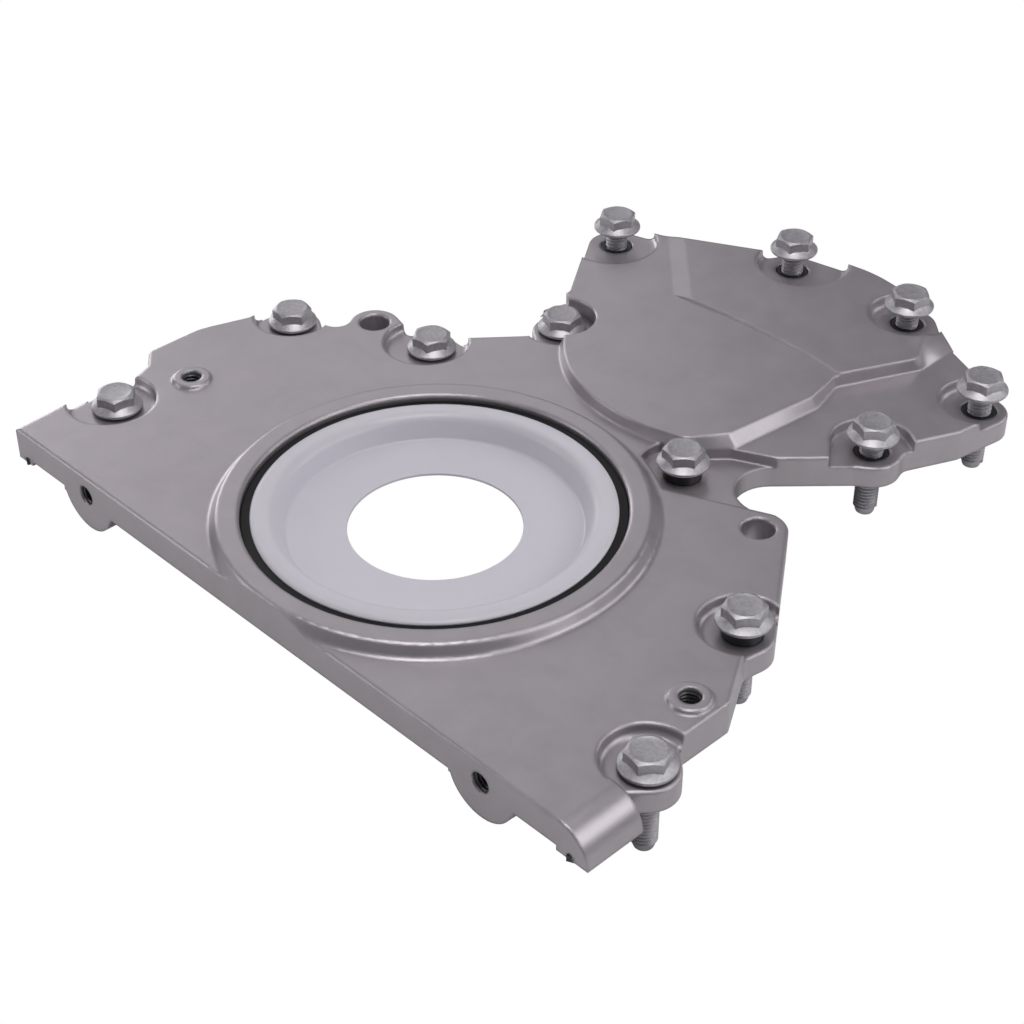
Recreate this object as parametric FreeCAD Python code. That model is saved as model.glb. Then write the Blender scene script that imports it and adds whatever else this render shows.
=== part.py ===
import FreeCAD, Part
import math
import os

from FreeCAD import Vector

# Rear crankshaft seal housing: a die-cast aluminium cover with its rotary shaft seal, the plastic
# fitting sleeve that guards the seal's lip, a rubber bead gasket and twelve captive flange bolts.
# Millimetres. The origin is on the crankshaft's axis in the mounting face, +Z points out of the
# engine, +X runs along the oil pan rail and +Y points away from it.

os.makedirs("parts", exist_ok=True)

# Heights over the mounting face
plate_top = 11.2
pad_depth = 3.76
plateau_top = 15.2
upper_top = 16.0
upper_pad_depth = 4.0
boss_top = 15.0
low_pad = plate_top - pad_depth
high_pad = upper_top - upper_pad_depth
slab_overlap = 1.4

# Cast walls and their rounds
skin = 4.5
edge_round = 1.0
pocket_round = 0.8
pocket_foot_round = 2.2
pocket_radius = 13.6
pocket_draft = 0.24
pocket_floor_radius = 11.6
lug_radius = 10.3

# Oil pan rail
rail_y = -67.5
rail_left = -129.8
rail_right = 122.0
rail_wall = 5.0
rail_relief = 1.8
foot_left = -122.3
foot_right = 120.2

# Rolled right-hand end of the rail
roll_radius = 11.3
roll_x = 120.5
roll_back = -46.4

# Pan bolt lugs under the rail
pan_hole_x = 91.3
pan_hole_z = 4.2
pan_hole_radius = 3.4
pan_hole_depth = 17.0
pan_lug_radius = 12.7
pan_lug_depth = 22.0

# Seal bore and the boss round it: both follow the shaft that the fitting sleeve stands for
sleeve_radius = 50.5
seal_section = 9.8
bore_radius = sleeve_radius + seal_section
bore_chamfer = 0.8
boss_land = bore_radius + 6.3
boss_foot = boss_land + 2.7
boss_back_radius = bore_radius + 7.7
boss_back_gap = 1.0

# Bolts: thread, shank length, flange and head
bolt_radius = 4.0
bolt_length = 30.0
bolt_tip_radius = 3.0
bolt_tip_length = 2.4
flange_radius = 8.55
flange_rim = 1.1
flange_rise = 2.3
head_flats = 12.0
head_height = 5.9
head_chamfer_radius = 5.75
head_chamfer_slope = 0.5

# Retainer sleeves that keep the bolts in their holes
retainer_radius = 5.85
retainer_length = 7.0
retainer_clearance = 0.1
retainer_grip = 0.15
bolt_hole_radius = retainer_radius + retainer_clearance

# Dowel holes and jacking holes
dowel_radius = 5.25
dowel_chamfer = 0.5
jack_radius = 3.45
jack_boss_radius = 6.6
jack_boss_rise = 1.3
jack_boss_round = 0.9

# Gasket bead in its groove, and the land beside it, which is the mounting face
groove_width = 3.2
groove_depth = 1.6
gasket_proud = 0.5
groove_wall = 1.85
gasket_land = 4.6

# Ribs behind the plate: those round the seal boss by angle, the others by start, angle and length
rib_width = 3.2
rib_gap = 1.5
rib_reach = 140.0
boss_rib_angles = (205.0, 180.0, 158.0, 22.0, 0.0, 335.0)
cam_ribs = ((-26.0, 70.0, 100.0, 130.0), (22.0, 70.0, 85.0, 130.0), (-60.0, 140.0, 0.0, rib_reach))

# Rotary seal and fitting sleeve
seal_front = 12.9
seal_width = 9.3
jacket_wall = 1.2
case_wall = 1.1
lip_wall = 0.8
lip_clearance = 0.1
sleeve_rim_radius = bore_radius - 3.2
sleeve_rim_top = seal_front + 0.9
sleeve_floor_top = seal_front - 7.1
sleeve_wall = 2.0
sleeve_hole_radius = sleeve_radius - 23.5

# Bolt stations, counter-clockwise from the left end of the rail: place, pad height, how far the
# head stands off its pad, and whether the retainer has come up with it
bolts = [
    (-121.0, -33.5, low_pad, 1.0, True),
    (-122.0, 43.1, low_pad, 1.0, True),
    (-74.5, 66.7, low_pad, 1.0, True),
    (-52.3, 108.9, low_pad, 1.0, True),
    (-75.0, 160.8, high_pad, 7.7, False),
    (-17.5, 193.6, high_pad, 8.5, False),
    (34.6, 193.7, high_pad, 7.2, False),
    (81.1, 172.9, low_pad, 8.1, False),
    (70.8, 127.9, low_pad, 6.2, False),
    (36.9, 73.7, low_pad, 4.9, True),
    (102.2, 27.4, low_pad, 5.1, True),
    (121.0, -33.5, low_pad, 1.0, True),
]
# How far each bolt's head has been left turned, in degrees
head_turns = [19.6, 50.6, 4.6, 37.0, 2.7, 55.1, 18.5, 13.6, 38.0, 42.8, 48.6, 49.7]
dowels = [(-98.0, 60.9), (75.2, 65.7)]
jacks = [(-113.2, -8.0), (113.2, -8.0)]


# Pockets that stand off their bolt's axis: bolt number, shift in x and y, radius
shifted_pockets = {
    1: (-1.4, -1.2, 14.9),
    3: (-1.4, -1.2, 14.9),
    4: (1.5, -2.6, 12.6),
    5: (0.0, -2.5, 17.0),
    6: (3.0, 2.0, 16.6),
}


def bolt_station(number, radius):
    x, y = bolts[number - 1][:2]
    return (x, y, radius)


# Plan curves: a chain of rounds (x, y, radius) joined by the straight lines that touch them. The
# radius is positive where the curve turns left round the centre, negative where it turns right,
# and zero at a sharp corner. Every chain runs counter-clockwise, with the metal on its left.

def touch_line(first, second):
    dx = second[0] - first[0]
    dy = second[1] - first[1]
    length = math.hypot(dx, dy)
    lean = (second[2] - first[2]) / length
    across = math.sqrt(1.0 - lean * lean)
    nx = (lean * dx - across * dy) / length
    ny = (lean * dy + across * dx) / length
    start = (first[0] - first[2] * nx, first[1] - first[2] * ny)
    end = (second[0] - second[2] * nx, second[1] - second[2] * ny)
    return start, end, math.atan2(ny, nx)


def chain_edges(stations, z, inward=0.0, closed=True):
    rounds = [(x, y, radius - inward) for x, y, radius in stations]
    count = len(rounds)
    pairs = count if closed else count - 1
    lines = [touch_line(rounds[i], rounds[(i + 1) % count]) for i in range(pairs)]
    edges = []
    for i, (start, end, angle) in enumerate(lines):
        edges.append(Part.LineSegment(Vector(*start, z), Vector(*end, z)).toShape())
        if i + 1 == pairs and not closed:
            continue
        x, y, radius = rounds[(i + 1) % count]
        leaving, _, next_angle = lines[(i + 1) % pairs]
        if math.dist(end, leaving) < 1e-6:
            continue
        turn = (next_angle - angle + math.pi) % (2.0 * math.pi) - math.pi
        middle = angle + turn / 2.0
        crown = Vector(x - radius * math.cos(middle), y - radius * math.sin(middle), z)
        edges.append(Part.Arc(Vector(*end, z), crown, Vector(*leaving, z)).toShape())
    return edges


def chain_wire(stations, z, inward=0.0):
    return Part.Wire(chain_edges(stations, z, inward))


def chain_prism(stations, bottom, top, inward=0.0):
    face = Part.Face(chain_wire(stations, bottom, inward))
    return face.extrude(Vector(0.0, 0.0, top - bottom))


def chain_strip(stations, half_width, bottom, top):
    right = chain_edges(stations, bottom, -half_width, closed=False)
    left = chain_edges(stations, bottom, half_width, closed=False)
    starts = [edges[0].Vertexes[0].Point for edges in (right, left)]
    ends = [edges[-1].Vertexes[-1].Point for edges in (right, left)]
    caps = [Part.makeLine(*starts), Part.makeLine(*ends)]
    wire = Part.Wire(Part.__sortEdges__(right + left + caps))
    return Part.Face(wire).extrude(Vector(0.0, 0.0, top - bottom))


# Turned shapes: a closed loop of (radius, height, round) corners, turned about a vertical axis.

def rounded_face(corners):
    count = len(corners)
    edges = []
    marks = []
    for i, (r, z, size) in enumerate(corners):
        here = Vector(r, 0.0, z)
        if size == 0.0:
            marks.append((here, here, None))
            continue
        before = Vector(corners[i - 1][0], 0.0, corners[i - 1][1]) - here
        after = Vector(corners[(i + 1) % count][0], 0.0, corners[(i + 1) % count][1]) - here
        half = before.getAngle(after) / 2.0
        before.normalize()
        after.normalize()
        run = size / math.tan(half)
        bisector = (before + after).normalize()
        crown = here + bisector * (size / math.sin(half) - size)
        marks.append((here + before * run, here + after * run, crown))
    for i, (entry, leave, crown) in enumerate(marks):
        if crown is not None:
            edges.append(Part.Arc(entry, crown, leave).toShape())
        target = marks[(i + 1) % count][0]
        if leave.distanceToPoint(target) > 1e-6:
            edges.append(Part.makeLine(leave, target))
    return Part.Face(Part.Wire(edges))


def turned(corners, x=0.0, y=0.0, z=0.0):
    solid = rounded_face(corners).revolve(Vector(0, 0, 0), Vector(0, 0, 1), 360.0)
    solid.translate(Vector(x, y, z))
    return solid


def joined(shapes):
    whole = shapes[0]
    for shape in shapes[1:]:
        whole = whole.fuse(shape)
    return whole


def cut_away(body, tools):
    for tool in tools:
        body = body.cut(tool)
    return body


def cylinder(x, y, radius, bottom, top):
    return Part.makeCylinder(radius, top - bottom, Vector(x, y, bottom))


def box(x0, x1, y0, y1, z0, z1):
    return Part.makeBox(x1 - x0, y1 - y0, z1 - z0, Vector(x0, y0, z0))


def top_edges(shape, height):
    return [edge for edge in shape.Edges
            if all(abs(vertex.Z - height) < 1e-4 for vertex in edge.Vertexes)]


def rounded_slab(stations, bottom, top):
    slab = chain_prism(stations, bottom, top)
    return slab.makeFillet(edge_round, top_edges(slab, top))


# Outline of the casting
outline = [
    (rail_left, rail_y, 0.0),
    (rail_right, rail_y, 0.0),
    (123.9, -46.9, -1.6),
    bolt_station(12, 9.6),
    (124.3, -20.0, -2.5),
    (118.9, -1.8, 3.0),
    (115.2, 19.5, -4.5),
    bolt_station(11, 9.7),
    (*dowels[1], 9.3),
    (63.5, 88.3, -13.0),
    (74.5, 114.5, -3.0),
    bolt_station(9, 10.0),
    (84.5, 134.5, -5.0),
    (82.6, 154.5, 5.0),
    bolt_station(8, 9.6),
    (75.2, 187.5, -4.0),
    (50.6, 199.7, -5.0),
    bolt_station(7, lug_radius),
    (8.0, 160.0, 48.0),
    bolt_station(6, lug_radius),
    (-34.4, 197.2, -6.0),
    (-66.2, 178.2, -4.0),
    bolt_station(5, lug_radius),
    (-63.0, 119.8, -3.0),
    bolt_station(4, 10.5),
    (-57.3, 95.3, -3.5),
    (-70.3, 80.2, -3.5),
    bolt_station(3, lug_radius),
    (-88.2, 70.2, -2.8),
    (*dowels[0], 8.8),
    (-109.3, 52.8, -5.0),
    bolt_station(2, 9.9),
    (-136.0, 32.0, -4.0),
    (-118.0, 10.5, 20.0),
    (-135.4, -6.6, 2.6),
    (-132.9, -14.9, -2.3),
    (-130.3, -21.6, -2.3),
    bolt_station(1, 11.0),
    (-133.4, -46.9, -2.4),
]

# Plateau over the cam drive: foot and top chains with matching stations, run out past the outline
plateau_foot = [
    (5.0, 136.0, 60.8),
    (28.4, 84.8, 5.0),
    (40.6, 94.2, 2.2),
    (43.7, 130.0, 2.5),
    (45.0, 144.0, -2.5),
    (51.8, 174.9, 4.2),
    (57.0, 225.0, 0.0),
    (-95.0, 225.0, 0.0),
    (-95.0, 150.0, 0.0),
    (-75.0, 127.0, 0.0),
    (-52.0, 114.5, 0.0),
]
plateau_crown = [
    (5.0, 136.0, 59.0),
    (27.2, 86.2, 5.0),
    (36.0, 94.6, 1.6),
    (41.2, 129.0, 2.0),
    (43.6, 144.6, -2.5),
    (50.4, 172.6, 3.6),
    (26.0, 225.0, 0.0),
    (-95.0, 225.0, 0.0),
    (-95.0, 150.0, 0.0),
    (-75.0, 127.0, 0.0),
    (-52.0, 114.5, 0.0),
]
# Upper region over the plateau: a bowed ridge in front, and on the left a slope that runs down to
# the plateau from the ridge's start towards bolt 5
ridge_start = (-32.3, 145.5)
ridge_crown = (6.0, 148.7)
ridge_end = (64.0, 142.5)
slope_heading = 135.0
slope_run = 6.0
upper_fall = 0.2
beyond = 300.0

# Pockets that run out through the outline: bolt 10's into the notch, bolt 9's down to the edge
notch_pocket = [bolt_station(10, 14.3), (72.0, 80.0, 6.0), (72.8, 91.3, 14.3)]
edge_pocket = [(78.1, 118.3, pocket_radius), (80.5, 122.5, 12.5), bolt_station(9, pocket_radius)]

# Bead of the gasket: it runs inside every hole that goes through the mounting flange, round the
# hole where it turns right there and round a corner of its own where it turns left
groove_half = groove_width / 2.0
land_step = groove_half + gasket_land
bead_corner = land_step + 3.0
flange_holes = (
    [bolt_station(12, bolt_hole_radius), (*jacks[1], jack_radius), bolt_station(11, bolt_hole_radius)]
    + [(*dowels[1], dowel_radius)]
    + [bolt_station(number, bolt_hole_radius) for number in (10, 9, 8, 7, 6, 5, 4, 3)]
    + [(*dowels[0], dowel_radius), bolt_station(2, bolt_hole_radius)]
    + [(*jacks[0], jack_radius), bolt_station(1, bolt_hole_radius)]
)
bead_start = ((foot_right + roll_x + roll_radius) / 2.0, rail_y, 0.0)
bead_end = ((foot_left + rail_left) / 2.0, rail_y, 0.0)


def bead_station(before, hole, after):
    clear = hole[2] + groove_wall + groove_half
    back = Vector(before[0] - hole[0], before[1] - hole[1], 0.0).normalize()
    on = Vector(after[0] - hole[0], after[1] - hole[1], 0.0).normalize()
    if on.cross(back).z <= 0.0:
        return (hole[0], hole[1], -clear)
    inside = (back + on).normalize() * (clear + bead_corner)
    return (hole[0] + inside.x, hole[1] + inside.y, bead_corner)


bead_turns = [bead_station(*flange_holes[i:i + 3]) for i in range(len(flange_holes) - 2)]
end_clear = bolt_hole_radius + groove_wall + groove_half
bead_turns = [bolt_station(12, -end_clear)] + bead_turns + [bolt_station(1, -end_clear)]
bead = [bead_start] + bead_turns + [bead_end]
hollow_corner = 5.0
hollow_y = rail_y + rail_wall + hollow_corner
hollow = (
    [(foot_left + hollow_corner, hollow_y, hollow_corner)]
    + [(foot_right - hollow_corner, hollow_y, hollow_corner)]
    + [(x, y, radius - land_step) for x, y, radius in bead_turns]
)


# Casting: outside

def pocket(number, top):
    """Cutter for one bolt's pocket: flat floor, filleted foot, drafted wall, rounded mouth."""
    x, y, pad = bolts[number - 1][:3]
    shift_x, shift_y, radius = shifted_pockets.get(number, (0.0, 0.0, pocket_radius))
    reach = radius + 2.0 * pocket_round
    corners = [
        (0.0, pad, 0.0),
        (radius - pocket_draft, pad, pocket_foot_round),
        (radius, top, pocket_round),
        (reach, top, 0.0),
        (reach, top + 6.0, 0.0),
        (0.0, top + 6.0, 0.0),
    ]
    return turned(corners, x + shift_x, y + shift_y)


def plateau_solid():
    base = plate_top - 0.02
    foot = chain_edges(plateau_foot, base)
    crown = chain_edges(plateau_crown, upper_top)
    sides = [Part.makeRuledSurface(low, high) for low, high in zip(foot, crown)]
    caps = [Part.Face(Part.Wire(foot)), Part.Face(Part.Wire(crown))]
    block = Part.Solid(Part.makeShell(sides + caps))
    block = block.fuse(chain_prism(plateau_foot, low_pad - 1.0, base))
    start, crest, end = (Vector(x, y, plateau_top) for x, y in (ridge_start, ridge_crown, ridge_end))
    heading = math.radians(slope_heading)
    along = Vector(math.cos(heading), math.sin(heading), 0.0)
    corners = [end, Vector(end.x, 0.0, end.z), Vector(-beyond, 0.0, end.z), Vector(-beyond, beyond, end.z)]
    corners += [start + along * beyond, start]
    rim = Part.Wire([Part.Arc(start, crest, end).toShape()] + Part.makePolygon(corners).Edges)
    lower = Part.Face(rim).extrude(Vector(0.0, 0.0, upper_top))
    across = Vector(along.y, -along.x, 0.0)
    rise = Vector(0.0, 0.0, upper_top - plateau_top)
    foot_line = start - along * slope_run
    slope = Part.Face(Part.makePolygon([
        foot_line, foot_line + across * slope_run + rise, foot_line + rise * 3.0, foot_line,
    ])).extrude(along * beyond)
    wedge = Part.Face(Part.makePolygon([
        Vector(-beyond, 0.0, upper_top - upper_fall - 0.2),
        Vector(roll_x, 0.0, upper_top + 0.2),
        Vector(roll_x, 0.0, upper_top * 2.0),
        Vector(-beyond, 0.0, upper_top * 2.0),
        Vector(-beyond, 0.0, upper_top - upper_fall - 0.2),
    ])).extrude(Vector(0.0, beyond, 0.0))
    return cut_away(block, [lower, slope, wedge])


def boss():
    corners = [
        (bore_radius - 3.0, plate_top - 4.0, 0.0),
        (boss_foot + 3.0, plate_top - 4.0, 0.0),
        (boss_foot + 3.0, plate_top, 0.0),
        (boss_foot + 0.6, plate_top, 1.6),
        (boss_land + 0.8, boss_top, 1.3),
        (bore_radius - 3.0, boss_top, 0.0),
    ]
    return turned(corners)


def jack_boss(x, y):
    top = plate_top + jack_boss_rise
    corners = [
        (0.0, plate_top - 3.0, 0.0),
        (jack_boss_radius + 1.2, plate_top - 3.0, 0.0),
        (jack_boss_radius + 1.2, plate_top, 0.0),
        (jack_boss_radius, plate_top, 0.5),
        (jack_boss_radius, top, jack_boss_round),
        (0.0, top, 0.0),
    ]
    return turned(corners, x, y)


def pan_lug(x):
    depth = pan_lug_depth
    drum = Part.makeCylinder(pan_lug_radius, depth, Vector(x, rail_y, pan_hole_z), Vector(0, 1, 0))
    left, right = x - pan_lug_radius, x + pan_lug_radius
    upper = box(left, right, rail_y, rail_y + depth, pan_hole_z, pan_hole_z + pan_lug_radius)
    block = box(left, right, rail_y, rail_y + depth, pan_hole_z, plate_top - 2.0)
    return joined([drum.cut(upper), block])


def rolled_end():
    centre = Vector(roll_x, rail_y, plate_top - roll_radius)
    drum = Part.makeCylinder(roll_radius, roll_back - rail_y, centre, Vector(0, 1, 0))
    quarter = box(roll_x - 2.0, roll_x + roll_radius, rail_y, roll_back, 0.0, plate_top)
    return drum.common(quarter)


def casting_outside():
    low = rounded_slab(outline, 0.0, low_pad)
    plate = rounded_slab(outline, low_pad - slab_overlap, plate_top)
    upper = rounded_slab(outline, low_pad - slab_overlap, high_pad)
    cam = plateau_solid().common(rounded_slab(outline, low_pad - slab_overlap, upper_top))
    high_lugs = []
    low_pockets = []
    upper_pockets = [pocket(4, plateau_top)]
    for number, (x, y, pad, _, _) in enumerate(bolts, 1):
        if pad == low_pad:
            low_pockets.append(pocket(number, plate_top))
            low_pockets.append(cylinder(x, y, pocket_floor_radius, low_pad - 2.0, low_pad + 1.0))
        else:
            upper_pockets.append(pocket(number, upper_top))
            lug_reach = shifted_pockets.get(number, (0.0, 0.0, pocket_radius))[2] + 4.0
            high_lugs.append(cylinder(x, y, lug_reach, 0.0, upper_top))
    upper_pads = upper.common(joined(high_lugs))
    openings = [chain_prism(stations, low_pad, boss_top) for stations in (notch_pocket, edge_pocket)]
    plate = cut_away(plate, low_pockets + openings)
    cam = cut_away(cam, upper_pockets)
    ring = boss().cut(box(-beyond, beyond, -beyond, rail_y, -beyond, beyond))
    extras = [plate, upper_pads, cam, ring, rolled_end()]
    extras += [jack_boss(x, y) for x, y in jacks]
    extras += [pan_lug(side * pan_hole_x) for side in (-1, 1)]
    return joined([low] + extras)


# Casting: inside and holes

def rib(x, y, angle, start, end):
    bar = box(start, end, -rib_width / 2.0, rib_width / 2.0, rib_gap, plateau_top)
    bar.rotate(Vector(0, 0, 0), Vector(0, 0, 1), angle)
    bar.translate(Vector(x, y, 0.0))
    return bar


def casting_hollow():
    """Space behind the plate, kept clear of the seal boss, the pan lugs and the ribs."""
    shallow = chain_prism(hollow, -1.0, plate_top - skin)
    crown_face = Part.Face(chain_wire(plateau_crown, 0.0)).makeOffset2D(-skin)
    deep = crown_face.extrude(Vector(0.0, 0.0, plateau_top - skin))
    deep = deep.common(chain_prism(hollow, -1.0, plateau_top))
    space = shallow.fuse(deep)
    kept = [cylinder(0.0, 0.0, boss_back_radius, -2.0, plateau_top)]
    for side in (-1, 1):
        x = side * pan_hole_x
        left, right = x - pan_lug_radius, x + pan_lug_radius
        kept.append(box(left, right, rail_y, rail_y + pan_lug_depth, -beyond, plate_top))
    for angle in boss_rib_angles:
        kept.append(rib(0.0, 0.0, angle, boss_back_radius - rib_width, rib_reach))
    for x, y, angle, length in cam_ribs:
        kept.append(rib(x, y, angle, 0.0, length))
    return cut_away(space, kept)


def casting_holes():
    tools = [cylinder(0.0, 0.0, bore_radius, -2.0, boss_top + 2.0)]
    tools.append(turned([
        (bore_radius - 1.0, boss_top - 1.0 - bore_chamfer, 0.0),
        (bore_radius + bore_chamfer + 1.0, boss_top + 1.0, 0.0),
        (bore_radius - 1.0, boss_top + 1.0, 0.0),
    ]))
    for x, y, pad, _, _ in bolts:
        tools.append(cylinder(x, y, bolt_hole_radius, -2.0, pad + 1.0))
    for x, y in dowels:
        tools.append(cylinder(x, y, dowel_radius, -2.0, plate_top + 2.0))
        tools.append(turned([
            (0.0, plate_top - dowel_chamfer - dowel_radius, 0.0),
            (dowel_radius + dowel_chamfer + 1.0, plate_top + 1.0, 0.0),
            (0.0, plate_top + 1.0, 0.0),
        ], x, y))
    for x, y in jacks:
        tools.append(cylinder(x, y, jack_radius, -2.0, plate_top + 4.0))
    for side in (-1, 1):
        start = Vector(side * pan_hole_x, rail_y - 1.0, pan_hole_z)
        tools.append(Part.makeCylinder(pan_hole_radius, pan_hole_depth + 1.0, start, Vector(0, 1, 0)))
    return tools


def casting():
    body = casting_outside()
    groove = chain_strip(bead, groove_half, -1.0, groove_depth)
    lug_inner = pan_hole_x - pan_lug_radius
    lug_outer = pan_hole_x + pan_lug_radius
    front = rail_y - 1.0
    rail_back = rail_y + rail_wall
    relief = [
        box(foot_left, -lug_outer, front, rail_back + 1.0, -1.0, rail_relief),
        box(lug_outer, foot_right, front, rail_back + 1.0, -1.0, rail_relief),
        box(-lug_inner, lug_inner, front, rail_back, -1.0, boss_back_gap),
    ]
    back = cylinder(0.0, 0.0, boss_back_radius, -1.0, boss_back_gap)
    tools = [casting_hollow(), groove, back] + relief + casting_holes()
    return cut_away(body, tools).removeSplitter()


# Seal, sleeve and gasket

def seal_jacket():
    outer = bore_radius
    inner = outer - jacket_wall
    face_inner = sleeve_radius + 3.1
    bottom = seal_front - seal_width
    return turned([
        (inner, bottom, 0.0), (outer - 0.4, bottom, 0.0), (outer, bottom + 0.8, 0.0),
        (outer, seal_front - 0.5, 0.0), (outer - 0.5, seal_front, 0.0), (face_inner, seal_front, 0.0),
        (face_inner, seal_front - 1.0, 0.0), (inner, seal_front - 1.0, 0.0),
    ])


def seal_case():
    outer = bore_radius - jacket_wall
    top = seal_front - 1.0
    bottom = seal_front - seal_width + 0.6
    inner = sleeve_radius + 3.1
    return turned([
        (outer - case_wall, bottom, 0.0), (outer, bottom, 0.0), (outer, top, 0.0), (inner, top, 0.0),
        (inner, top - case_wall, 0.0), (outer - case_wall, top - case_wall, 0.8),
    ])


def seal_lip():
    bore = sleeve_radius + lip_clearance
    top = seal_front - 1.0 - case_wall
    outer = bore_radius - jacket_wall - case_wall - 0.6
    return turned([
        (outer, top, 0.0), (bore + 1.4, top, 1.0), (bore, top - 1.8, 1.0), (bore, top - 6.4, 0.0),
        (bore + lip_wall, top - 6.4, 0.0), (bore + lip_wall, top - 2.0, 0.8),
        (bore + 2.0, top - lip_wall, 0.4), (outer, top - lip_wall, 0.0),
    ])


def fitting_sleeve():
    inner = sleeve_radius - sleeve_wall
    floor_under = sleeve_floor_top - sleeve_wall
    return turned([
        (sleeve_hole_radius, floor_under, 0.3),
        (sleeve_radius, floor_under, 3.0),
        (sleeve_radius, seal_front, 0.0),
        (sleeve_rim_radius, seal_front, 0.2),
        (sleeve_rim_radius, sleeve_rim_top, 0.4),
        (sleeve_rim_radius - 2.6, sleeve_rim_top + 0.35, 2.0),
        (inner + 1.9, sleeve_rim_top, 2.4),
        (inner, sleeve_floor_top + 3.8, 6.0),
        (inner - 7.0, sleeve_floor_top, 6.0),
        (sleeve_hole_radius, sleeve_floor_top, 0.4),
    ])


def gasket():
    return chain_strip(bead, groove_half, -gasket_proud, groove_depth)


# Fasteners

def flange_bolt(x, y, seat, turn):
    across = head_flats / 2.0 / math.cos(math.pi / 6.0)
    rim_slope = (flange_rise - flange_rim) / (flange_radius - across)
    flange = turned([
        (0.0, 0.0, 0.0), (flange_radius - 0.25, 0.0, 0.0), (flange_radius, 0.3, 0.0),
        (flange_radius, flange_rim, 0.25), (across - 1.0, flange_rise + rim_slope, 0.0),
        (0.0, flange_rise + rim_slope, 0.0),
    ])
    spots = [Vector(across * math.cos(math.radians(a)), across * math.sin(math.radians(a)), 0.5)
             for a in range(0, 420, 60)]
    prism = Part.Face(Part.makePolygon(spots)).extrude(Vector(0.0, 0.0, head_height - 0.5))
    drop = (across + 0.5 - head_chamfer_radius) * head_chamfer_slope
    cone = turned([
        (0.0, 0.0, 0.0), (across + 0.5, 0.0, 0.0), (across + 0.5, head_height - drop, 0.0),
        (head_chamfer_radius, head_height, 0.0), (0.0, head_height, 0.0),
    ])
    shank = turned([
        (0.0, 0.5, 0.0), (0.0, -bolt_length, 0.0), (bolt_tip_radius, -bolt_length, 0.6),
        (bolt_radius, bolt_tip_length - bolt_length, 0.0), (bolt_radius, 0.5, 0.0),
    ])
    solid = joined([flange, prism.common(cone), shank]).removeSplitter()
    solid.rotate(Vector(0, 0, 0), Vector(0, 0, 1), turn)
    solid.translate(Vector(x, y, seat))
    return solid


def retainer(x, y, top):
    bore = bolt_radius + retainer_grip
    return turned([
        (bore, top - retainer_length, 0.0), (retainer_radius - 0.3, top - retainer_length, 0.0),
        (retainer_radius, top - retainer_length + 0.6, 0.0), (retainer_radius, top - 0.3, 0.0),
        (retainer_radius - 0.3, top, 0.0), (bore, top, 0.0),
    ], x, y)


def build():
    pieces = {
        "cover_casting": casting(),
        "seal_jacket": seal_jacket(),
        "seal_case": seal_case(),
        "seal_lip": seal_lip(),
        "fitting_sleeve": fitting_sleeve(),
        "perimeter_gasket": gasket(),
    }
    for number, (x, y, pad, stand_off, risen) in enumerate(bolts, 1):
        turn = head_turns[number - 1]
        pieces[f"bolt_{number:02d}"] = flange_bolt(x, y, pad + stand_off, turn)
        retainer_top = pad + stand_off if risen else pad
        pieces[f"bolt_retainer_{number:02d}"] = retainer(x, y, retainer_top)
    return pieces


for name, shape in build().items():
    solid = shape.Solids[0]
    print(name, solid.isValid(), len(shape.Solids), round(solid.Volume, 1))
    solid.exportStep(f"parts/{name}.step")
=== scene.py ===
import logging
import math
from dataclasses import dataclass
from enum import Enum
from typing import Callable

import bmesh
import bpy
from mathutils import Euler, Matrix, Vector


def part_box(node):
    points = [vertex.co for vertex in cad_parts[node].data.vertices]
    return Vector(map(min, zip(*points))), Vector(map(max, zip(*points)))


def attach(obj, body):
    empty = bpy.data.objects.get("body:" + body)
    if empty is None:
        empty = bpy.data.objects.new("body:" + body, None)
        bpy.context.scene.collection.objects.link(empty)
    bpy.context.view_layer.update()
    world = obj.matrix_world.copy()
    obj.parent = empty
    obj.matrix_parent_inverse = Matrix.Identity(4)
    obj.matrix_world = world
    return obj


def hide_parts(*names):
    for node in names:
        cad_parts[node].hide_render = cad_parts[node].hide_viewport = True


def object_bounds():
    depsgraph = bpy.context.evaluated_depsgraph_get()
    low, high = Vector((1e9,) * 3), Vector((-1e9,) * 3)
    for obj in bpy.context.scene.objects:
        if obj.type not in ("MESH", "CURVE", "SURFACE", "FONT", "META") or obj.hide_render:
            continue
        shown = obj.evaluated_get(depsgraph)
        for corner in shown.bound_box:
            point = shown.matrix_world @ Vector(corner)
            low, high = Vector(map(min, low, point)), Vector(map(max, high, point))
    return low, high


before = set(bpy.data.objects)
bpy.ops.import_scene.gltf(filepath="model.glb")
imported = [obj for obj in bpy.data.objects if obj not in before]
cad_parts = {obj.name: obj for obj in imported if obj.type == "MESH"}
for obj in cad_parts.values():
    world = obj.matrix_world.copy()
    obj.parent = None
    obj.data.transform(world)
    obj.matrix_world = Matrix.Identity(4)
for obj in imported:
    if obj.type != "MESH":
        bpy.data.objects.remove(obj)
CAD_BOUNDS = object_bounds()
LOG = logging.getLogger("seal_housing")

Colour = tuple[float, float, float]
Point = tuple[float, float, float]
Ring = tuple[float, float]

# One millimetre in metres
MM = 0.001
# Vertices nearer than this, in metres, are one vertex
WELD_DISTANCE = 1e-7
THREAD_WELD_DISTANCE = 2e-6
# Range of the mottling mask over which a finish goes from its dark to its light end
MASK_RANGE = (0.3, 0.7)
# Share of the mottling in the height of a surface
MOTTLE_HEIGHT = 0.35
# How far light spreads inside a translucent plastic: scale in metres, and radius of each colour
SPREAD_SCALE = 0.004
SPREAD_RADIUS = (1.0, 1.0, 1.1)

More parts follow.
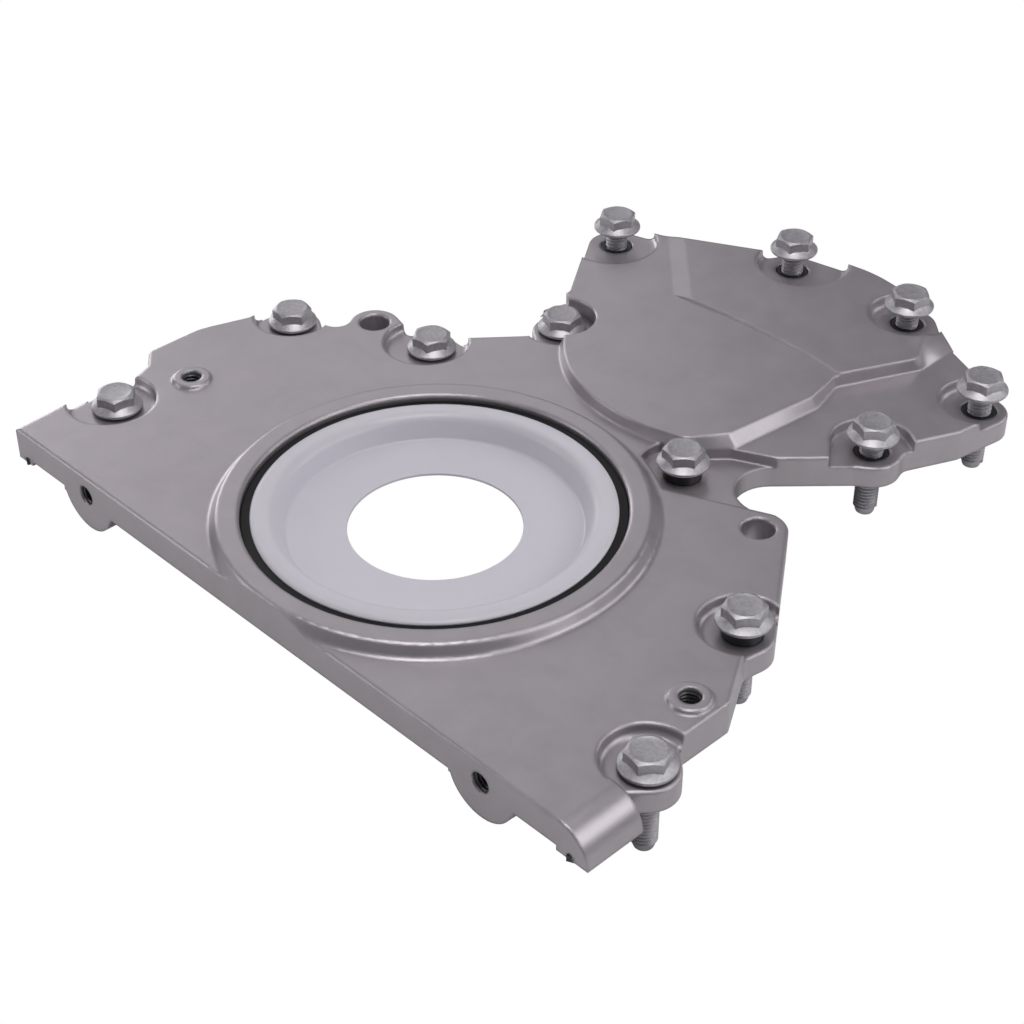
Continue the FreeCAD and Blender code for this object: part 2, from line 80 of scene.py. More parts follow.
# Thread profile over one pitch: share of the thread's depth, and share of the pitch
THREAD_PROFILE = [(0.0, 0.0), (0.0, 0.16), (1.0, 0.44), (1.0, 0.60), (0.0, 0.88), (0.0, 1.0)]

# Dished top of a bolt's head: inset from the chamfer's radius, and height above the head's top
HEAD_DISH = [(0.0, 0.0), (0.35, 0.02), (0.8, -0.12)]
DISH_RADIUS = 2.0
# Rim of a bolt's flange: inset from the flange's radius, and height
FLANGE_RIM = [(1.4, 0.05), (0.5, 0.0), (0.15, 0.12), (0.0, 0.4), (0.0, 0.8), (0.12, 1.05), (0.4, 1.2)]
# Underside and cone of the flange: radius and height
FLANGE_BORE = (3.5, 0.05)
FLANGE_CONE = [(6.9, 1.95), (6.2, 2.45), (5.2, 2.5)]
# Tip of a bolt's shank: radius, and height above its end
SHANK_TIP = [(2.2, 0.05), (2.6, 0.0), (2.95, 0.25), (3.25, 1.0), (3.34, 2.6)]
# Neck of the shank under the flange: radius and height
SHANK_NECK = [(3.34, -1.6), (3.75, -0.9), (4.05, 0.1)]

# Upper edge of the sleeve's hole: distance outwards from the hole, and depth below the dish's floor
HOLE_EDGE = [(0.0, 0.4), (0.12, 0.12), (0.4, 0.0)]
# Outer edge of the sleeve's rim: inset from the rim's radius, and depth below its crest
RIM_EDGE = [(1.5, 0.1), (0.4, 0.4), (0.0, 0.85)]
# Outer foot of the sleeve's barrel: inset from the barrel's radius, and height above the underside
BARREL_FOOT = [(0.0, 3.0), (0.9, 0.9), (3.0, 0.0)]

# How far each bolt's head is turned, in degrees, from bolt 1 on
BOLT_TURNS = (19.6, 50.6, 4.6, 37.0, 2.7, 55.1, 18.5, 13.6, 38.0, 42.8, 48.6, 49.7)


class Slot(Enum):
    """Material slots of the record."""

    CASTING = "cast_aluminium"
    BOLT = "bolt_coating"
    RETAINER = "retainer_rubber"
    SEAL = "seal_rubber"
    CASE = "case_steel"
    LIP = "lip_ptfe"
    SLEEVE = "sleeve_plastic"
    GASKET = "gasket_rubber"


class Hand(Enum):
    """Side of the metal that a thread is cut on."""

    OUTSIDE = 1
    INSIDE = -1


class Side(Enum):
    """Side of the shaft's axis, seen with the oil pan rail below."""

    LEFT = -1.0
    RIGHT = 1.0


def surface_group() -> bpy.types.ShaderNodeTree:
    """Make the shared node group of fine grain over slow mottling.

    Returns:
        The group, with a mottling mask and a height as its outputs.
    """
    tree = bpy.data.node_groups.new("surface_grain", "ShaderNodeTree")
    sockets = [("Vector", "INPUT", "NodeSocketVector"), ("Grain", "INPUT", "NodeSocketFloat"),
               ("Mottle", "INPUT", "NodeSocketFloat"), ("Mask", "OUTPUT", "NodeSocketFloat"),
               ("Height", "OUTPUT", "NodeSocketFloat")]
    for name, side, kind in sockets:
        tree.interface.new_socket(name=name, in_out=side, socket_type=kind)
    entry = tree.nodes.new("NodeGroupInput")
    leave = tree.nodes.new("NodeGroupOutput")
    fine = tree.nodes.new("ShaderNodeTexNoise")
    fine.inputs["Detail"].default_value = 3.0
    fine.inputs["Roughness"].default_value = 0.65
    slow = tree.nodes.new("ShaderNodeTexNoise")
    slow.inputs["Detail"].default_value = 5.0
    slow.inputs["Roughness"].default_value = 0.6
    slow.inputs["Distortion"].default_value = 0.4
    blend = tree.nodes.new("ShaderNodeMath")
    blend.operation = "MULTIPLY_ADD"
    blend.inputs[1].default_value = MOTTLE_HEIGHT
    links = tree.links
    for noise, scale in ((fine, "Grain"), (slow, "Mottle")):
        links.new(entry.outputs["Vector"], noise.inputs["Vector"])
        links.new(entry.outputs[scale], noise.inputs["Scale"])
    links.new(slow.outputs["Fac"], blend.inputs[0])
    links.new(fine.outputs["Fac"], blend.inputs[2])
    links.new(slow.outputs["Fac"], leave.inputs["Mask"])
    links.new(blend.outputs["Value"], leave.inputs["Height"])
    return tree


@dataclass(frozen=True)
class Finish:
    """One surface finish, with its colours and its grain at real size.

    Attributes:
        name: The material's name.
        dark: The colour of the mottling's dark end.
        light: The colour of its light end.
        rough: The roughness at the same two ends.
        metallic: How metallic the surface is.
        grain: The scale of the fine grain, per metre.
        mottle: The scale of the mottling, per metre.
        relief: The height of both in millimetres.
        coat: The weight of a clear coat.
        subsurface: How much light goes through the surface.
        specular: The strength of its reflections, where it isn't metal.
        edge: The radius in millimetres to which edges are shaded round.
    """

    name: str
    dark: Colour
    light: Colour
    rough: tuple[float, float]
    metallic: float = 0.0
    grain: float = 2500.0
    mottle: float = 60.0
    relief: float = 0.02
    coat: float = 0.0
    subsurface: float = 0.0
    specular: float = 0.5
    edge: float = 0.15

    def make(self, grain_group: bpy.types.ShaderNodeTree) -> bpy.types.Material:
        """Build the material.

        Args:
            grain_group: The shared grain group.

        Returns:
            The new material.
        """
        material = bpy.data.materials.new(self.name)
        material.use_nodes = True
        tree = material.node_tree
        shader = tree.nodes["Principled BSDF"]
        place = tree.nodes.new("ShaderNodeTexCoord")
        grain = tree.nodes.new("ShaderNodeGroup")
        grain.node_tree = grain_group
        grain.inputs["Grain"].default_value = self.grain
        grain.inputs["Mottle"].default_value = self.mottle
        tree.links.new(place.outputs["Object"], grain.inputs["Vector"])
        self.mottle_surface(tree, grain.outputs["Mask"], shader)
        self.raise_surface(tree, grain.outputs["Height"], shader)
        shader.inputs["Metallic"].default_value = self.metallic
        shader.inputs["Coat Weight"].default_value = self.coat
        shader.inputs["Specular IOR Level"].default_value = self.specular
        if self.subsurface:
            shader.inputs["Subsurface Weight"].default_value = self.subsurface
            shader.inputs["Subsurface Radius"].default_value = SPREAD_RADIUS
            shader.inputs["Subsurface Scale"].default_value = SPREAD_SCALE
        return material

    def mottle_surface(self, tree: bpy.types.ShaderNodeTree, mask: bpy.types.NodeSocket,
                       shader: bpy.types.ShaderNode) -> None:
        """Let the mottling mask steer the colour and the roughness.

        Args:
            tree: The material's nodes.
            mask: The mottling mask.
            shader: The surface shader.
        """
        tint = tree.nodes.new("ShaderNodeValToRGB")
        for stop, position, colour in zip(tint.color_ramp.elements, MASK_RANGE, (self.dark, self.light)):
            stop.position = position
            stop.color = (*colour, 1.0)
        tree.links.new(mask, tint.inputs["Fac"])
        tree.links.new(tint.outputs["Color"], shader.inputs["Base Color"])
        spread = tree.nodes.new("ShaderNodeMapRange")
        for end, position, roughness in zip(("Min", "Max"), MASK_RANGE, self.rough):
            spread.inputs[f"From {end}"].default_value = position
            spread.inputs[f"To {end}"].default_value = roughness
        tree.links.new(mask, spread.inputs["Value"])
        tree.links.new(spread.outputs["Result"], shader.inputs["Roughness"])

    def raise_surface(self, tree: bpy.types.ShaderNodeTree, height: bpy.types.NodeSocket,
                      shader: bpy.types.ShaderNode) -> None:
        """Shade the edges round and the grain raised.

        Args:
            tree: The material's nodes.
            height: The grain's height.
            shader: The surface shader.
        """
        rounding = tree.nodes.new("ShaderNodeBevel")
        rounding.samples = 6
        rounding.inputs["Radius"].default_value = self.edge * MM
        bump = tree.nodes.new("ShaderNodeBump")
        bump.inputs["Strength"].default_value = 1.0
        bump.inputs["Distance"].default_value = self.relief * MM
        tree.links.new(rounding.outputs["Normal"], bump.inputs["Normal"])
        tree.links.new(height, bump.inputs["Height"])
        tree.links.new(bump.outputs["Normal"], shader.inputs["Normal"])


FINISHES: dict[Slot, Finish] = {
    Slot.CASTING: Finish("cast_aluminium", dark=(0.390, 0.357, 0.381), light=(0.435, 0.400, 0.426),
                         rough=(0.325, 0.365), metallic=0.72, grain=2600.0, mottle=75.0, relief=0.022,
                         edge=1.5),
    Slot.BOLT: Finish("zinc_flake", dark=(0.36, 0.346, 0.367), light=(0.51, 0.492, 0.518),
                      rough=(0.38, 0.50), metallic=0.75, grain=2400.0, mottle=900.0, relief=0.035, edge=0.2),
    Slot.RETAINER: Finish("retainer_rubber", dark=(0.008, 0.008, 0.009), light=(0.014, 0.014, 0.015),
                          rough=(0.35, 0.5)),
    Slot.SEAL: Finish("seal_rubber", dark=(0.004, 0.004, 0.005), light=(0.008, 0.008, 0.009),
                      rough=(0.45, 0.6), specular=0.25),
    Slot.CASE: Finish("pressed_steel", dark=(0.4, 0.4, 0.4), light=(0.5, 0.5, 0.5), rough=(0.3, 0.4),
                      metallic=1.0),
    Slot.LIP: Finish("filled_ptfe", dark=(0.10, 0.075, 0.06), light=(0.14, 0.11, 0.09), rough=(0.45, 0.55)),
    Slot.SLEEVE: Finish("sleeve_plastic", dark=(0.565, 0.542, 0.602), light=(0.58, 0.557, 0.617),
                        rough=(0.36, 0.42), grain=900.0, mottle=25.0, relief=0.0, coat=0.05,
                        subsurface=0.35, edge=0.0),
    Slot.GASKET: Finish("gasket_rubber", dark=(0.02, 0.02, 0.022), light=(0.03, 0.03, 0.033),
                        rough=(0.5, 0.6)),
}

# Near-black colour of the threads in the tapped holes: painted shade of the hole's inside, not the colour of
# the cut metal
THREAD_SHADE_FINISH = Finish("thread_in_painted_shade", dark=(0.05, 0.048, 0.05), light=(0.09, 0.086, 0.09), rough=(0.30, 0.40),
                    metallic=0.6, edge=0.1)


class Dresser:
    def __init__(self) -> None:
        """Build one material for each slot, and one near-black one for the cut threads, whose dark colour is
        painted shade inside the tapped holes.
        """
        group = surface_group()
        self.materials = {slot: finish.make(group) for slot, finish in FINISHES.items()}
        self.thread_in_painted_shade = THREAD_SHADE_FINISH.make(group)

    def dress_node(self, name: str, slot: Slot) -> None:
        """Put a finish on a solid of the frame.

        Args:
            name: The node's name.
            slot: The slot whose finish it takes.
        """
        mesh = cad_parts[name].data
        mesh.materials.clear()
        mesh.materials.append(self.materials[slot])
        LOG.info("dressed %s in %s", name, slot.value)

    def add_piece(self, name: str, bm: bmesh.types.BMesh, slot: Slot, stands_for: str | None = None,
                  crease: float = 35.0, material: bpy.types.Material | None = None) -> bpy.types.Object:
        """Turn a mesh under construction into a finished piece.

        Args:
            name: The piece's name.
            bm: The mesh, in metres in the frame; it is freed.
            slot: The slot whose finish it takes.
            stands_for: A solid of the frame that it replaces.
            crease: The angle in degrees above which an edge stays sharp.
            material: A finish that it takes instead of its slot's.

        Returns:
            The new object.
        """
        bmesh.ops.remove_doubles(bm, verts=bm.verts, dist=WELD_DISTANCE)
        bmesh.ops.recalc_face_normals(bm, faces=bm.faces)
        mesh = bpy.data.meshes.new(name)
        bm.to_mesh(mesh)
        bm.free()
        mesh.shade_smooth()
        mesh.set_sharp_from_angle(angle=math.radians(crease))
        mesh.materials.append(material or self.materials[slot])
        piece = bpy.data.objects.new(name, mesh)
        bpy.context.scene.collection.objects.link(piece)
        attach(piece, "root")
        if stands_for:
            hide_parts(stands_for)
        LOG.info("built %s with %d faces", name, len(mesh.polygons))
        return piece


def close_hole(bm: bmesh.types.BMesh, ring: list[bmesh.types.BMVert], height: float) -> None:
    """Close a ring with a fan to a point on the axis.

    Args:
        bm: The mesh under construction.
        ring: The ring's vertices in order.
        height: The height of the fan's point.
    """
    edges = [edge for edge in {e for v in ring for e in v.link_edges} if edge.is_boundary or edge.is_wire]
    filled = bmesh.ops.edgeloop_fill(bm, edges=edges)["faces"]
    middle = bmesh.ops.poke(bm, faces=filled)["verts"]
    for vert in middle:
        vert.co = Vector((0.0, 0.0, height))


def stack_rings(rings: list[Ring], segments: int, shape: Callable[[float, float, float], Ring] | None = None,
                capped: bool = True) -> bmesh.types.BMesh:
    """Build a closed turned body by extruding a circle from ring to ring.

    Args:
        rings: The radius and height of each ring, in order, in millimetres.
        segments: The number of sides.
        shape: Gives the radius and height of a vertex from its angle, radius and height.
        capped: Close both ends on the axis; a body with a hole returns to its first ring instead.

    Returns:
        The body, in metres.
    """
    bm = bmesh.new()
    ring = list(bmesh.ops.create_circle(bm, cap_ends=False, radius=1.0, segments=segments)["verts"])
    angles = [math.atan2(vert.co.y, vert.co.x) for vert in ring]
    rows = [ring]
    for _ in rings[1:]:
        row_set = set(ring)
        edges = [edge for edge in bm.edges if edge.verts[0] in row_set and edge.verts[1] in row_set]
        made = bmesh.ops.extrude_edge_only(bm, edges=edges)["geom"]
        fresh = {item for item in made if isinstance(item, bmesh.types.BMVert)}
        ring = [next(e.other_vert(v) for e in v.link_edges if e.other_vert(v) in fresh) for v in ring]
        rows.append(ring)
    for row, (radius, height) in zip(rows, rings):
        for vert, angle in zip(row, angles):
            r, z = shape(angle, radius, height) if shape else (radius, height)
            vert.co = Vector((r * math.cos(angle), r * math.sin(angle), z)) * MM
    if capped:
        close_hole(bm, rows[0], rings[0][1] * MM)
        close_hole(bm, rows[-1], rings[-1][1] * MM)
    return bm


def arc_rings(radius: float, height: float, bend: float, start: float, end: float, steps: int) -> list[Ring]:
    """List the rings of a round.

    Args:
        radius: The radius of the round's centre.
        height: The height of the round's centre.
        bend: The round's own radius.
        start: Its first angle in degrees, from outwards towards up.
        end: Its last angle.
        steps: The number of steps between them.

    Returns:
        The radius and height of each ring.
    """
    angles = [math.radians(start + (end - start) * step / steps) for step in range(steps + 1)]
    return [(radius + bend * math.cos(angle), height + bend * math.sin(angle)) for angle in angles]


def merge_into(target: bmesh.types.BMesh, source: bmesh.types.BMesh) -> None:
    """Add one mesh to another and free it.

    Args:
        target: The mesh that grows.
        source: The mesh that is added.
    """
    carrier = bpy.data.meshes.new("carrier")
    source.to_mesh(carrier)
    source.free()
    target.from_mesh(carrier)
    bpy.data.meshes.remove(carrier)


@dataclass
class Thread:
    """A helical metric thread, made by screwing one pitch of its profile up its axis.

    Attributes:
        crest: The radius of its crest.
        pitch: The rise of one turn.
        depth: The depth from crest to root.
        sides: The number of steps in one turn.
        hand: Whether it is on a bolt or in a hole.
    """

    crest: float
    pitch: float = 1.25
    depth: float = 0.68
    sides: int = 24
    hand: Hand = Hand.OUTSIDE

    def build(self, bottom: float, top: float) -> bmesh.types.BMesh:
        """Build the thread.

        Args:
            bottom: The lower end in millimetres.
            top: The upper end in millimetres.

        Returns:
            The thread's skin, in metres.
        """
        turns = max(1, int((top - bottom) / self.pitch))
        depth = self.hand.value * self.depth
        profile = [Vector((self.crest - depth * (1.0 - rise), 0.0, bottom + share * self.pitch)) * MM
                   for rise, share in THREAD_PROFILE]
        bm = bmesh.new()
        last = bmesh.ops.create_vert(bm, co=profile[0])["vert"][0]
        for place in profile[1:]:
            last = bmesh.ops.extrude_vert_indiv(bm, verts=[last])["verts"][0]
            last.co = place
        step = Vector((0.0, 0.0, self.pitch / self.sides)) * MM
        bmesh.ops.spin(bm, geom=list(bm.verts) + list(bm.edges), cent=(0, 0, 0), axis=(0, 0, 1), dvec=step,
                       angle=2.0 * math.pi * turns, steps=self.sides * turns, use_merge=False,
                       use_duplicate=False)
        bmesh.ops.remove_doubles(bm, verts=bm.verts, dist=THREAD_WELD_DISTANCE)
        return bm


@dataclass
class FlangeBolt:
    """One coated M8 flange bolt with its head, flange, thread and tip, in millimetres.

    Attributes:
        number: The bolt's number in the record.
        turn: How far its head is turned, in degrees.
        flats: The width of the hexagon across its flats.
        head_height: The height of the head's top above the flange's underside.
        head_foot: The height at which the hexagon starts, inside the flange.
        flange_top: The height at which the hexagon leaves the flange.
        chamfer_radius: The radius of the head's round top.
        chamfer_slope: How far the chamfer falls for each millimetre outwards.
        flange_radius: The radius of the flange.
        length: The length under the flange.
        thread_radius: The radius of the thread's crest.
        thread_start: The height of the thread's lower end above the tip.
        thread_end: The height of its upper end, under the flange.
        crease: The angle in degrees above which an edge stays sharp.
        head_sides: The number of sides of the head.
        flange_sides: The number of sides of the flange.
        shank_sides: The number of sides of the shank.
    """

    number: int
    turn: float = 0.0
    flats: float = 12.0
    head_height: float = 5.9
    head_foot: float = 1.0
    flange_top: float = 2.6
    chamfer_radius: float = 5.4
    chamfer_slope: float = 0.5
    flange_radius: float = 8.55
    length: float = 30.0
    thread_radius: float = 3.98
    thread_start: float = 1.4
    thread_end: float = -1.3
    crease: float = 20.0
    head_sides: int = 96
    flange_sides: int = 72
    shank_sides: int = 48

    @property
    def node(self) -> str:
        """Name of the solid that the bolt stands for."""
        return f"bolt_{self.number:02d}"

    def hexagon(self, angle: float) -> float:
        """Find the distance from the axis to the hexagon.

        Args:
            angle: The angle from the middle of a flat, in radians.

        Returns:
            The distance.
        """
        sixth = math.pi / 3.0
        return self.flats / 2.0 / math.cos((angle + sixth / 2.0) % sixth - sixth / 2.0)

    def head_shape(self, angle: float, radius: float, height: float) -> Ring:
        """Place one vertex of the head: a hexagon under a chamfer cone.

        Args:
            angle: The vertex's angle.
            radius: Its ring's radius; beyond the chamfer's radius it goes out to the hexagon.
            height: Its ring's height.

        Returns:
            The vertex's radius and height.
        """
        if radius <= self.chamfer_radius:
            return radius, height
        hexagon = self.hexagon(angle - math.pi / 6.0)
        cut = self.head_height - (hexagon - self.chamfer_radius) * self.chamfer_slope
        return hexagon, min(height, cut)

    def head(self) -> bmesh.types.BMesh:
        """Build the hexagon with its chamfered, slightly dished top.

        Returns:
            The head, in metres.
        """
        corner = self.flats / math.sqrt(3.0)
        rings = [(corner, self.head_foot), (corner, self.flange_top), (corner, self.head_height)]
        rings += [(self.chamfer_radius - inset, self.head_height + rise) for inset, rise in HEAD_DISH]
        rings.append((DISH_RADIUS, rings[-1][1]))
        return stack_rings(rings, self.head_sides, self.head_shape)

    def flange(self) -> bmesh.types.BMesh:
        """Build the conical flange with its rolled rim.

        Returns:
            The flange, in metres.
        """
        rim = [(self.flange_radius - inset, height) for inset, height in FLANGE_RIM]
        return stack_rings([FLANGE_BORE, *rim, *FLANGE_CONE], self.flange_sides)

    def shank(self) -> bmesh.types.BMesh:
        """Build the core of the shank, its neck under the flange and its tip.

        Returns:
            The shank, in metres.
        """
        tip = [(radius, rise - self.length) for radius, rise in SHANK_TIP]
        return stack_rings([*tip, *SHANK_NECK], self.shank_sides)

    def build(self, dresser: Dresser) -> bpy.types.Object:
        """Build the bolt in place of its solid.

        Args:
            dresser: Hands out the finish.

        Returns:
            The bolt.
        """
        low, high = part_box(self.node)
        body = self.head()
        merge_into(body, self.flange())
        merge_into(body, self.shank())
        merge_into(body, Thread(self.thread_radius).build(self.thread_start - self.length, self.thread_end))
        centre = (low + high) / 2.0
        seat = high.z - self.head_height * MM
        turn = Matrix.Rotation(math.radians(self.turn), 4, "Z")
        place = Matrix.Translation((centre.x, centre.y, seat)) @ turn
        bmesh.ops.transform(body, matrix=place, verts=body.verts)
        return dresser.add_piece(f"threaded_{self.node}", body, Slot.BOLT, self.node, crease=self.crease)


@dataclass
class FittingSleeve:
    """The moulded sleeve inside the seal: a dish with a hole, a steep wall and a round rim.

    Attributes:
        node: The solid that it stands for, which gives its rim's radius and its height.
        rim_thickness: The height of the rim's crest above its seat on the seal.
        crest_inset: How far the centre of the crest's round lies inside the rim.
        crest_round: The radius of that round.
        barrel_inset: How far the barrel, which the lip rides on, lies inside the rim.
        wall_lean: How far the inner wall leans, in degrees from upright.
        foot_inset: How far the centre of the round at the wall's foot lies inside the rim.
        foot_round: The radius of that round.
        floor_drop: The depth of the dish's floor below the crest.
        floor_thickness: The thickness of that floor.
        hole_radius: The radius of the hole in the floor.
        hole_chamfer: The size of the chamfer under the hole's edge.
        arc_steps: The number of steps in a round.
        sides: The number of sides of the sleeve.
    """

    node: str = "fitting_sleeve"
    rim_thickness: float = 1.25
    crest_inset: float = 4.2
    crest_round: float = 4.4
    barrel_inset: float = 6.6
    wall_lean: float = 25.0
    foot_inset: float = 11.2
    foot_round: float = 1.2
    floor_drop: float = 7.65
    floor_thickness: float = 1.1
    hole_radius: float = 27.5
    hole_chamfer: float = 0.3
    arc_steps: int = 10
    sides: int = 192

    def inside(self, rim: float, crest: float) -> list[Ring]:
        """List the rings of the dish, from the hole's underside up to the crest.

        Args:
            rim: The rim's radius.
            crest: The height of the crest.

        Returns:
            The radius and height of each ring.
        """
        floor = crest - self.floor_drop
        under = floor - self.floor_thickness
        hole = self.hole_radius
        rings = [(hole + self.hole_chamfer, under), (hole, under + self.hole_chamfer)]
        rings += [(hole + outwards, floor - depth) for outwards, depth in HOLE_EDGE]
        rings += arc_rings(rim - self.foot_inset, floor + self.foot_round, self.foot_round,
                           -90.0, -self.wall_lean, self.arc_steps)
        rings += arc_rings(rim - self.crest_inset, crest - self.crest_round, self.crest_round,
                           180.0 - self.wall_lean, 90.0, self.arc_steps)
        return rings

    def outside(self, rim: float, crest: float) -> list[Ring]:
        """List the rings of the rim's edge, its seat and the barrel, down to the underside.

        Args:
            rim: The rim's radius.
            crest: The height of the crest.

        Returns:
            The radius and height of each ring.
        """
        seat = crest - self.rim_thickness
        under = crest - self.floor_drop - self.floor_thickness
        barrel = rim - self.barrel_inset
        rings = [(rim - inset, crest - depth) for inset, depth in RIM_EDGE]
        rings += [(rim, seat), (barrel, seat)]
        rings += [(barrel - inset, under + rise) for inset, rise in BARREL_FOOT]
        return rings

    def build(self, dresser: Dresser) -> bpy.types.Object:
        """Build the sleeve in place of its solid.

        Args:
            dresser: Hands out the finish.

        Returns:
            The sleeve.
        """
        low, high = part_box(self.node)
        rim = (high.x - low.x) / 2.0 / MM
        crest = high.z / MM
        rings = self.inside(rim, crest) + self.outside(rim, crest)
        body = stack_rings([*rings, rings[0]], self.sides, capped=False)
        return dresser.add_piece("moulded_sleeve", body, Slot.SLEEVE, self.node)


@dataclass(frozen=True)
class TappedHole:
    """Thread inside a tapped hole of the casting, one on each side of the shaft's axis.

    Attributes:
        name: The name that both threads share.
        mouth: The middle of the right hole's mouth, in millimetres.
        direction: The direction from the mouth into the hole.
        radius: The hole's radius.
        depth: Its depth.
        thread_depth: The depth of its thread.
        end_gap: The plain length at either end.
    """

    name: str
    mouth: Point
    direction: Point
    radius: float
    depth: float
    thread_depth: float = 0.42
    end_gap: float = 0.6

    def build(self, dresser: Dresser, side: Side) -> bpy.types.Object:
        """Build the thread just inside the hole's wall.

        Args:
            dresser: Hands out the finish.
            side: The side of the axis.

        Returns:
            The thread.
        """
        thread = Thread(self.radius - self.thread_depth, depth=self.thread_depth, hand=Hand.INSIDE)
        body = thread.build(self.end_gap, self.depth - self.end_gap)
        across, up, out = self.mouth
        turn = Vector((0.0, 0.0, 1.0)).rotation_difference(Vector(self.direction)).to_matrix().to_4x4()
        place = Matrix.Translation(Vector((side.value * across, up, out)) * MM) @ turn
        bmesh.ops.transform(body, matrix=place, verts=body.verts)
        name = f"{self.name}_{side.name.lower()}"
        # The thread takes the near-black finish, which is painted shade of the hole's inside
        return dresser.add_piece(name, body, Slot.CASTING, material=dresser.thread_in_painted_shade)


TAPPED_HOLES = (
    TappedHole("pan_thread", mouth=(91.3, -67.5, 4.2), direction=(0.0, 1.0, 0.0), radius=3.4, depth=17.0),
    TappedHole("jack_thread", mouth=(113.2, -8.0, 0.0), direction=(0.0, 0.0, 1.0), radius=3.45, depth=12.3),
)


class Housing:
    """The casting with its seal, sleeve, gasket, bolts and threads."""

    def dress_solids(self, dresser: Dresser) -> None:
        """Put the finishes on the solids that stay in view.

        Args:
            dresser: Hands out the finishes.
        """
        plan = {"cover_casting": Slot.CASTING, "seal_jacket": Slot.SEAL, "seal_case": Slot.CASE,
                "seal_lip": Slot.LIP, "perimeter_gasket": Slot.GASKET}
        for number in range(1, len(BOLT_TURNS) + 1):
            plan[f"bolt_retainer_{number:02d}"] = Slot.RETAINER
        for name, slot in plan.items():
            dresser.dress_node(name, slot)

    def build(self, dresser: Dresser) -> None:
        """Dress the solids and build every piece that they leave plain.

        Args:
            dresser: Hands out the finishes.
        """
        self.dress_solids(dresser)
        for number, turn in enumerate(BOLT_TURNS, 1):
            FlangeBolt(number, turn).build(dresser)
        FittingSleeve().build(dresser)
        for side in Side:
            for hole in TAPPED_HOLES:
                hole.build(dresser, side)


@dataclass(frozen=True)
class Lamp:
    """One soft square lamp.

    Attributes:
        name: The lamp's name.
        place: Where it stands, in metres.
        size: Its side in metres.
        watts: Its power.
    """

    name: str
    place: Point
    size: float
    watts: float

    def add(self, aim: Point) -> None:
        """Put the lamp in the scene.

        Args:
            aim: The point that it faces.
        """
        data = bpy.data.lights.new(self.name, "AREA")
        data.size = self.size
        data.energy = self.watts
        lamp = bpy.data.objects.new(self.name, data)
        lamp.location = self.place
        lamp.rotation_euler = (Vector(self.place) - Vector(aim)).to_track_quat("Z", "Y").to_euler()
        bpy.context.scene.collection.objects.link(lamp)
        LOG.info("lit %s", self.name)


LAMPS = (
    Lamp("key", (0.76, 0.34, 0.62), size=0.6, watts=2.8),
    Lamp("top", (0.1, 0.0, 1.0), size=0.45, watts=4.1),
    Lamp("left", (-1.08, 0.22, 0.22), size=0.45, watts=2.1),
    Lamp("front", (-0.68, -0.68, 0.42), size=0.4, watts=1.5),
    Lamp("right", (0.45, 0.85, 0.46), size=0.4, watts=1.1),
    Lamp("wash", (-0.82, 0.54, 0.66), size=0.8, watts=1.2),
)


def show_to_camera(tree: bpy.types.ShaderNodeTree, seen: bpy.types.NodeSocket,
                   otherwise: bpy.types.NodeSocket, surface: bpy.types.NodeSocket) -> None:
    """Give the camera one shader and every other ray another.

    Args:
        tree: The nodes of the world or the material.
        seen: The shader that the camera sees.
        otherwise: The shader that lights the part.
        surface: The input that takes the result.
    """
    path = tree.nodes.new("ShaderNodeLightPath")
    mix = tree.nodes.new("ShaderNodeMixShader")
    tree.links.new(path.outputs["Is Camera Ray"], mix.inputs["Fac"])
    tree.links.new(otherwise, mix.inputs[1])
    tree.links.new(seen, mix.inputs[2])
    tree.links.new(mix.outputs["Shader"], surface)


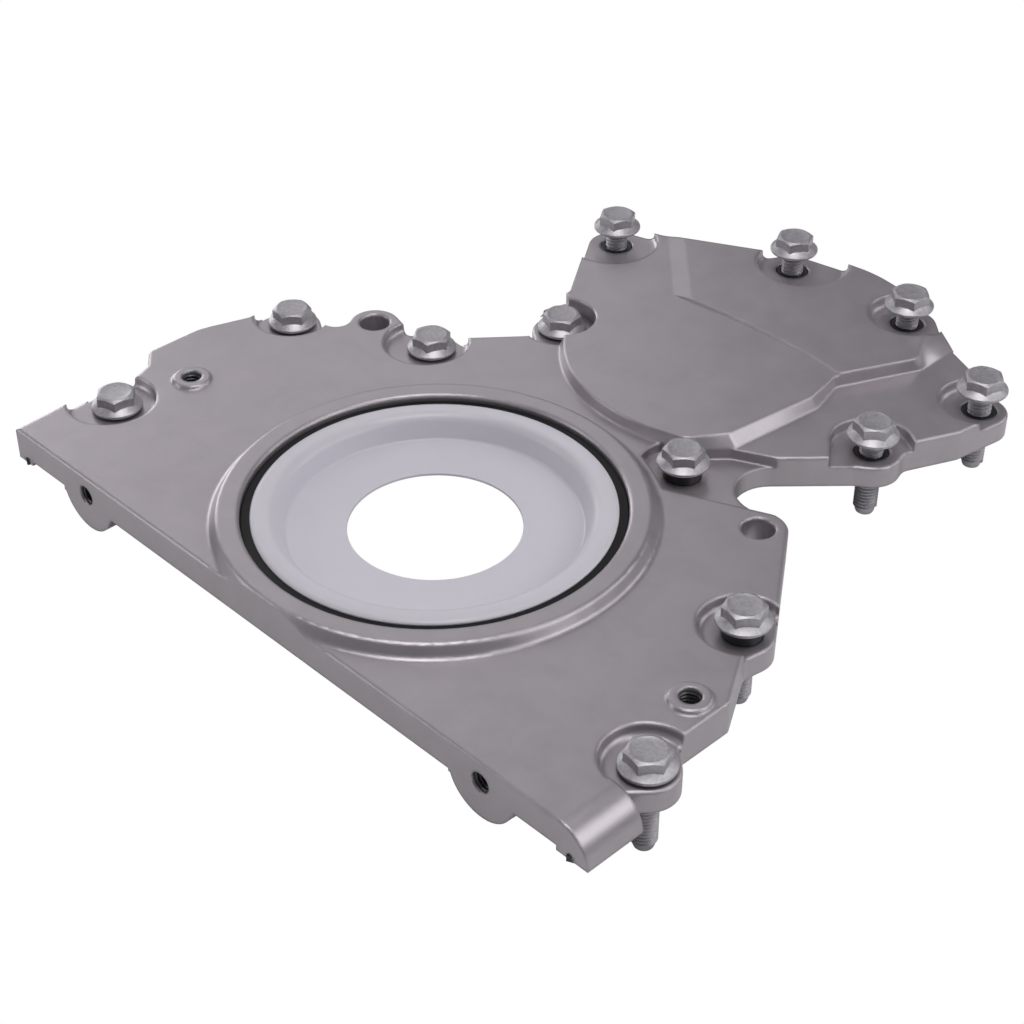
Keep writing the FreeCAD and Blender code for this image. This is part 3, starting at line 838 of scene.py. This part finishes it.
@dataclass
class Studio:
    """Camera, lamps, world and floor, in metres.

    Attributes:
        camera_place: Where the camera stands.
        camera_tilt: Its tilt in degrees from straight down.
        camera_heading: Its heading in degrees.
        lens: Its focal length in millimetres.
        sensor_width: The width of its film in millimetres.
        clip_start: The distance at which it starts to see.
        aim: The point that the lamps face.
        room_colour: The colour of the grey room.
        room_strength: How strongly the room lights the part.
        floor_size: Half the width of the floor.
        floor_drop: The gap between the bolts' tips and the floor.
        floor_shade: The floor's own grey.
        floor_roughness: The floor's roughness.
    """

    camera_place: Point = (0.38961, -0.34567, 0.39832)
    camera_tilt: float = 53.36
    camera_heading: float = 45.79
    lens: float = 73.50
    sensor_width: float = 36.0
    clip_start: float = 0.01
    aim: Point = (0.0, 0.07, 0.0)
    room_colour: Colour = (0.95, 0.95, 1.0)
    room_strength: float = 0.21
    floor_size: float = 3.0
    floor_drop: float = 0.0002
    floor_shade: float = 0.8
    floor_roughness: float = 0.9

    def camera(self) -> None:
        """Place the camera as the photograph was taken."""
        data = bpy.data.cameras.new("camera")
        data.lens = self.lens
        data.sensor_width = self.sensor_width
        data.clip_start = self.clip_start
        camera = bpy.data.objects.new("camera", data)
        camera.location = self.camera_place
        tilt, heading = math.radians(self.camera_tilt), math.radians(self.camera_heading)
        camera.rotation_euler = Euler((tilt, 0.0, heading))
        bpy.context.scene.collection.objects.link(camera)
        bpy.context.scene.camera = camera

    def world(self) -> None:
        """Set a white backdrop for the camera over a grey room for everything else."""
        world = bpy.data.worlds.new("room")
        world.use_nodes = True
        nodes = world.node_tree.nodes
        room = nodes["Background"]
        room.inputs["Color"].default_value = (*self.room_colour, 1.0)
        room.inputs["Strength"].default_value = self.room_strength
        white = nodes.new("ShaderNodeBackground")
        white.inputs["Color"].default_value = (1.0, 1.0, 1.0, 1.0)
        show_to_camera(world.node_tree, white.outputs["Background"], room.outputs["Background"],
                       nodes["World Output"].inputs["Surface"])
        bpy.context.scene.world = world

    def floor_material(self) -> bpy.types.Material:
        """Make the pale floor's material, pure white to the camera.

        Returns:
            The material.
        """
        material = bpy.data.materials.new("floor")
        material.use_nodes = True
        nodes = material.node_tree.nodes
        shader = nodes["Principled BSDF"]
        shader.inputs["Base Color"].default_value = (*[self.floor_shade] * 3, 1.0)
        shader.inputs["Roughness"].default_value = self.floor_roughness
        glow = nodes.new("ShaderNodeEmission")
        show_to_camera(material.node_tree, glow.outputs["Emission"], shader.outputs["BSDF"],
                       nodes["Material Output"].inputs["Surface"])
        return material

    def floor(self) -> None:
        """Lay the floor just under the bolts' tips."""
        bm = bmesh.new()
        bmesh.ops.create_grid(bm, x_segments=1, y_segments=1, size=self.floor_size)
        low = CAD_BOUNDS[0][2] - self.floor_drop
        bmesh.ops.translate(bm, vec=(0.0, 0.0, low), verts=bm.verts)
        mesh = bpy.data.meshes.new("floor")
        bm.to_mesh(mesh)
        bm.free()
        mesh.materials.append(self.floor_material())
        floor = bpy.data.objects.new("floor", mesh)
        bpy.context.scene.collection.objects.link(floor)

    def build(self) -> None:
        """Set up the whole studio."""
        bpy.context.scene.view_settings.view_transform = "Standard"
        self.camera()
        for lamp in LAMPS:
            lamp.add(self.aim)
        self.world()
        self.floor()
        LOG.info("set up the studio")


def main() -> None:
    """Build the studio and the housing in order."""
    logging.basicConfig(level=logging.INFO)
    Studio().build()
    Housing().build(Dresser())


if __name__ == "__main__":
    main()
